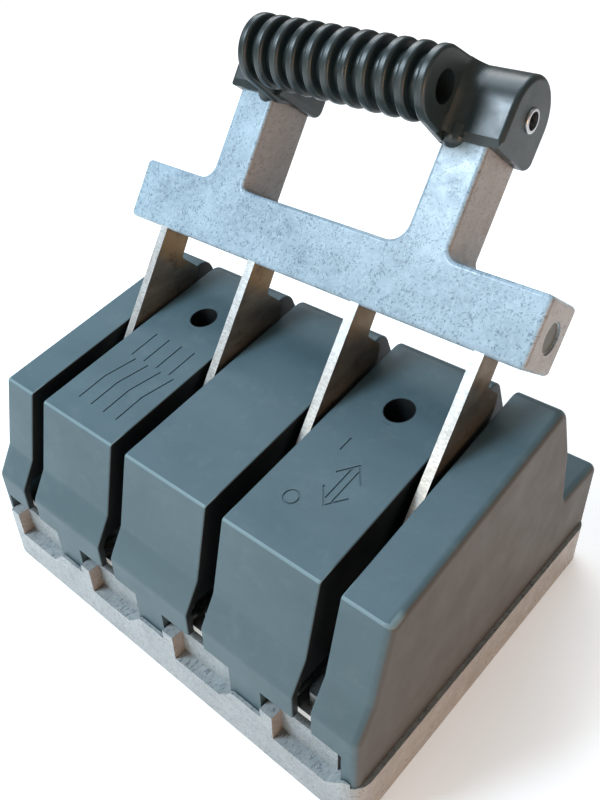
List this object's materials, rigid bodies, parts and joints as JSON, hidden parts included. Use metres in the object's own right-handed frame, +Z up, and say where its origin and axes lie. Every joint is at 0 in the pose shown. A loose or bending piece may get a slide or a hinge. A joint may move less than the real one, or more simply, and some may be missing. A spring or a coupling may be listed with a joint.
{
  "type": "knife blade switch",
  "caption": "Open knife blade switch: insulating base, slotted hinged-lever cover and a bar handle that swings a row of copper blades between jaws.",
  "frame": {"origin": "centre of the base's underside", "axes": "+X along the crossbar and grip, +Y from the load terminals to the line terminals, +Z up out of the base"},
  "size_m": [0.215, 0.1756, 0.231],
  "materials": {
    "bmc_moulding": "pale grey speckled bulk moulding compound, satin",
    "cover_plastic": "fine moulded texture, matte",
    "grip_plastic": "satin moulded",
    "tinned_copper": "tinned, brushed",
    "brass": "turned",
    "spring_steel": "dull",
    "zinc_steel": "zinc plated"
  },
  "bodies": {
    "switch_base": {"base": "bmc_moulding", "cover": "cover_plastic", "cover_screw_inserts": "brass", "cover_screws": "zinc_steel", "hinge_clip_1": "tinned_copper", "hinge_clip_2": "tinned_copper", "hinge_clip_3": "tinned_copper", "hinge_clip_4": "tinned_copper", "hinge_clip_screws": "zinc_steel", "hinge_nuts": "zinc_steel", "hinge_pins": "zinc_steel", "hinge_spring_washers": "zinc_steel", "jaw_1": "tinned_copper", "jaw_2": "tinned_copper", "jaw_3": "tinned_copper", "jaw_4": "tinned_copper", "jaw_screws": "zinc_steel", "jaw_spring_1": "spring_steel", "jaw_spring_2": "spring_steel", "jaw_spring_3": "spring_steel", "jaw_spring_4": "spring_steel", "line_terminal_1": "tinned_copper", "line_terminal_2": "tinned_copper", "line_terminal_3": "tinned_copper", "line_terminal_4": "tinned_copper", "load_terminal_1": "tinned_copper", "load_terminal_2": "tinned_copper", "load_terminal_3": "tinned_copper", "load_terminal_4": "tinned_copper", "terminal_bolts": "zinc_steel", "terminal_nuts": "zinc_steel", "terminal_washers": "zinc_steel"},
    "lever": {"blade_1": "tinned_copper", "blade_2": "tinned_copper", "blade_3": "tinned_copper", "blade_4": "tinned_copper", "crossbar_rod": "zinc_steel", "grip": "grip_plastic", "grip_rivets": "zinc_steel", "lever_yoke": "bmc_moulding"}
  },
  "joints": [
    {"name": "lever_hinge", "type": "hinge", "parent": "switch_base", "child": "lever", "pos_m": [0, -0.046, 0.042], "axis": [-1, 0, 0], "range_deg": [-83.7, 37.3]}
  ]
}
